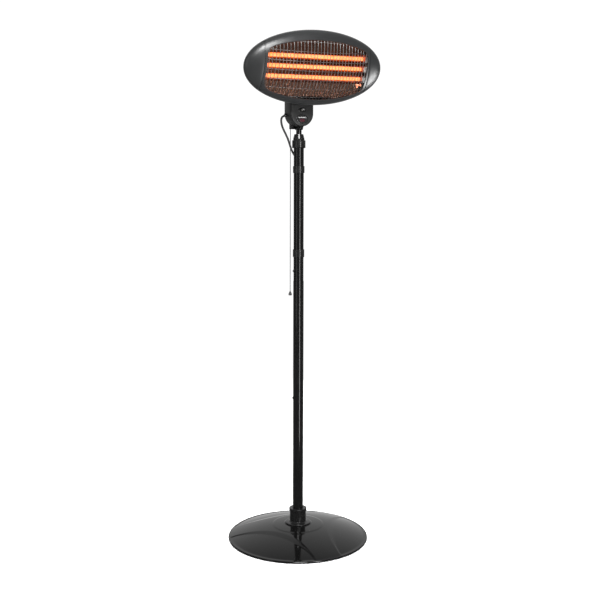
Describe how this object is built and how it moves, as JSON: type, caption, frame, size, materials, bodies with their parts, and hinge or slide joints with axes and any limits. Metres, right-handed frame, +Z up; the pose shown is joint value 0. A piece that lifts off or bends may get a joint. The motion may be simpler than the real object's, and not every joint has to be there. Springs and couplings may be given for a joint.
{
  "type": "patio heater",
  "caption": "Free-standing electric patio heater: an oval tilting head with quartz tubes on a telescopic pole, with a pull-cord switch and a round weighted base.",
  "frame": {"origin": "on the floor under the pole's axis, at the centre of the round base", "axes": "+Z up; the heater's face looks towards -Y, tilted down 20 degrees; +X is to the heater's left as it faces -Y"},
  "size_m": [0.4999, 0.6521, 1.7619],
  "materials": {
    "black_enamel": "glossy black enamel",
    "pole_black": "glossy black enamel",
    "head_paint": "satin dark grey",
    "guard_wire": "satin wire",
    "polished_aluminium": "mirror polished",
    "sheet_steel": "galvanised",
    "fastener_black": "black zinc",
    "fastener_steel": "bright zinc",
    "box_plastic": "fine satin",
    "joint_plastic": "satin black",
    "badge_plastic": "gloss black",
    "lamp_lens": "clear smoky lens",
    "rubber_black": "matte",
    "cable_rubber": "matte sheath",
    "cord_grey": "braided cord",
    "quartz": "clear fused quartz",
    "ceramic_white": "unglazed steatite",
    "copper_alloy": "plain",
    "cast_weight": "rough concrete",
    "glowing_wire": "glowing resistance wire"
  },
  "bodies": {
    "stand": {"base_cover": "black_enamel", "base_pan": "sheet_steel", "base_weight": "cast_weight", "base_feet": "rubber_black", "pole_socket": "joint_plastic", "anchor_bolt": "fastener_steel", "anchor_washer": "fastener_steel", "joint_screws_low": "fastener_black", "joint_sleeve_low": "sheet_steel", "joint_screws_high": "fastener_black", "joint_sleeve_high": "sheet_steel", "lower_tube": "pole_black", "middle_tube": "pole_black", "upper_tube": "pole_black", "cable_clip_upper": "joint_plastic", "cable_clip_lower": "joint_plastic", "lock_collar": "joint_plastic", "lock_collet": "joint_plastic", "cable_run": "cable_rubber", "cable_floor": "cable_rubber", "mains_plug": "rubber_black", "plug_pins": "copper_alloy"},
    "lock": {"lock_nut": "joint_plastic"},
    "slider": {"guide_bush": "joint_plastic"},
    "mast": {"inner_tube": "pole_black", "stem_bracket": "pole_black", "stem_screw": "fastener_black", "control_box_front": "box_plastic", "control_box_rear": "box_plastic", "box_screws": "fastener_black", "indicator_surround": "joint_plastic", "indicator_lens": "lamp_lens", "badge_plate": "badge_plastic", "pull_switch": "joint_plastic", "terminal_block": "joint_plastic", "cable_gland": "joint_plastic", "hinge_knuckle": "pole_black", "cable_loop": "cable_rubber"},
    "puller": {"pull_cord": "cord_grey", "cord_bead": "joint_plastic"},
    "head": {"tilt_bracket": "pole_black", "tilt_bolt": "fastener_black", "tilt_nut": "fastener_black", "bezel_centre": "head_paint", "end_cap_left": "head_paint", "end_cap_right": "head_paint", "rear_housing": "head_paint", "housing_screws": "fastener_black", "guard_grille": "guard_wire", "reflector": "polished_aluminium", "reflector_ends": "polished_aluminium", "quartz_tube_top": "quartz", "heating_coil_top": "glowing_wire", "quartz_tube_middle": "quartz", "heating_coil_middle": "glowing_wire", "quartz_tube_bottom": "quartz", "heating_coil_bottom": "glowing_wire", "ceramic_holders": "ceramic_white", "bus_links": "copper_alloy", "heat_shield": "sheet_steel"}
  },
  "joints": [
    {"name": "lock_nut_turn", "type": "hinge", "parent": "stand", "child": "lock", "pos_m": [0, 0, 1.42], "axis": [0, 0, 1], "range_deg": [0, 90]},
    {"name": "height_slide", "type": "slide", "parent": "stand", "child": "slider", "axis": [0, 0, 1], "range_m": [0, 0.3], "deforming": ["cable_run"]},
    {"name": "mast_turn", "type": "hinge", "parent": "slider", "child": "mast", "pos_m": [0, 0, 1.42], "axis": [0, 0, 1], "range_deg": [-45, 45]},
    {"name": "head_tilt", "type": "hinge", "parent": "mast", "child": "head", "pos_m": [0, -0.008, 1.61], "axis": [1, 0, 0], "range_deg": [-20, 15]},
    {"name": "pull_cord_travel", "type": "slide", "parent": "mast", "child": "puller", "axis": [0, 0, -1], "range_m": [0, 0.012], "stiffness_N_per_m": 600}
  ]
}
